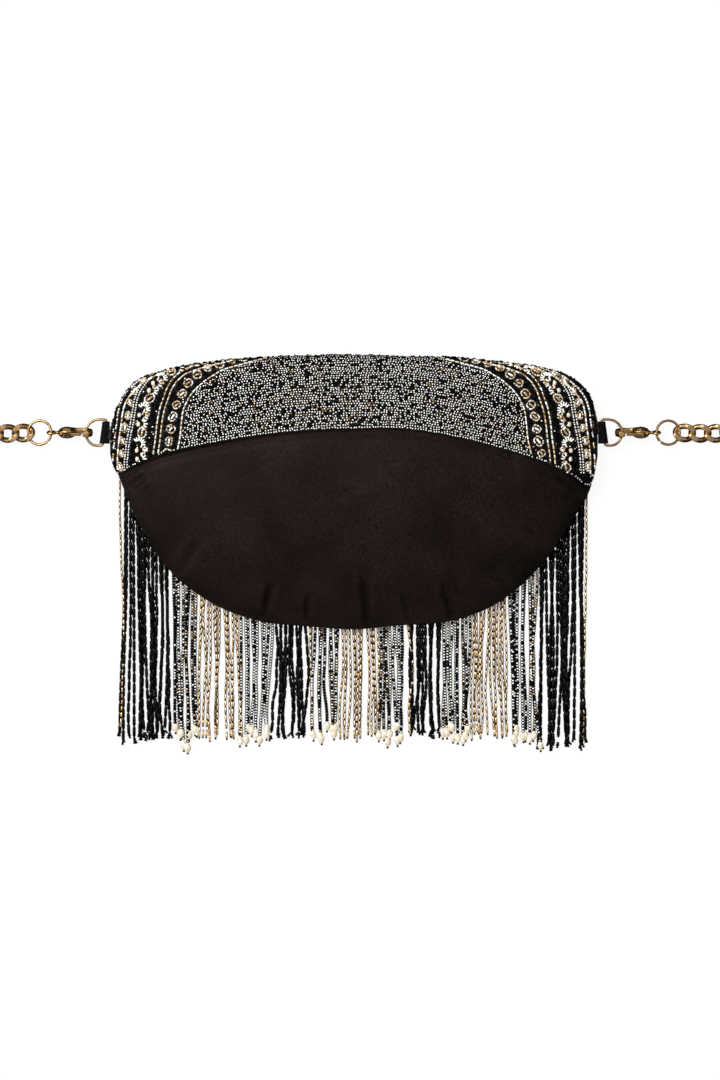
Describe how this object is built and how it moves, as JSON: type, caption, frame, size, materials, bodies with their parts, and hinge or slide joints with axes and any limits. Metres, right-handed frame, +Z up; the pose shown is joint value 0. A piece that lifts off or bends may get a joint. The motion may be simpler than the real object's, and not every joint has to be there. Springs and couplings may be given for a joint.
{
  "type": "beaded belt bag",
  "caption": "Lens-shaped satin belt bag with a beaded fold-over flap, a bead fringe and a curb chain on lobster clasps, lying on its beaded front.",
  "frame": {"origin": "centre of the underside of the bounding box of the bag, its fringe and its laid-out chain, on the surface that it lies on", "axes": "+Z up, away from the surface; +Y from the fringe towards the bag's top edge; +X along the bag, to the right as seen from above"},
  "size_m": [0.464, 0.4164, 0.0258],
  "materials": {
    "satin": "black-brown satin with a soft sheen",
    "beaded_cloth": "cloth covered in black, silver-lined and gold glass seed beads",
    "bead_fringe": "strands of glass bugles, seed beads and small champagne pearls",
    "strap": "matt black strap",
    "antique_gold": "polished antique gold plate"
  },
  "bodies": {
    "bag": {"pouch": "satin", "flap": "beaded_cloth", "fringe": "bead_fringe", "tab_left": "strap", "tab_right": "strap", "d_ring_left": "antique_gold", "d_ring_right": "antique_gold", "clasp_left": "antique_gold", "clasp_right": "antique_gold", "jump_ring_left": "antique_gold", "jump_ring_right": "antique_gold", "chain": "antique_gold"},
    "lever_left": {"clasp_lever_left": "antique_gold"},
    "lever_right": {"clasp_lever_right": "antique_gold"}
  },
  "joints": [
    {"name": "lever_left_hinge", "type": "hinge", "parent": "bag", "child": "lever_left", "pos_m": [-0.14873, -0.03779, 0.00654], "axis": [0, -0.9397, -0.342], "range_deg": [-20, 0], "stiffness_Nm_per_rad": 0.01, "springref_deg": 5.73},
    {"name": "lever_right_hinge", "type": "hinge", "parent": "bag", "child": "lever_right", "pos_m": [0.14873, -0.03779, 0.00654], "axis": [0, 0.9397, 0.342], "range_deg": [-20, 0], "stiffness_Nm_per_rad": 0.01, "springref_deg": 5.73}
  ]
}
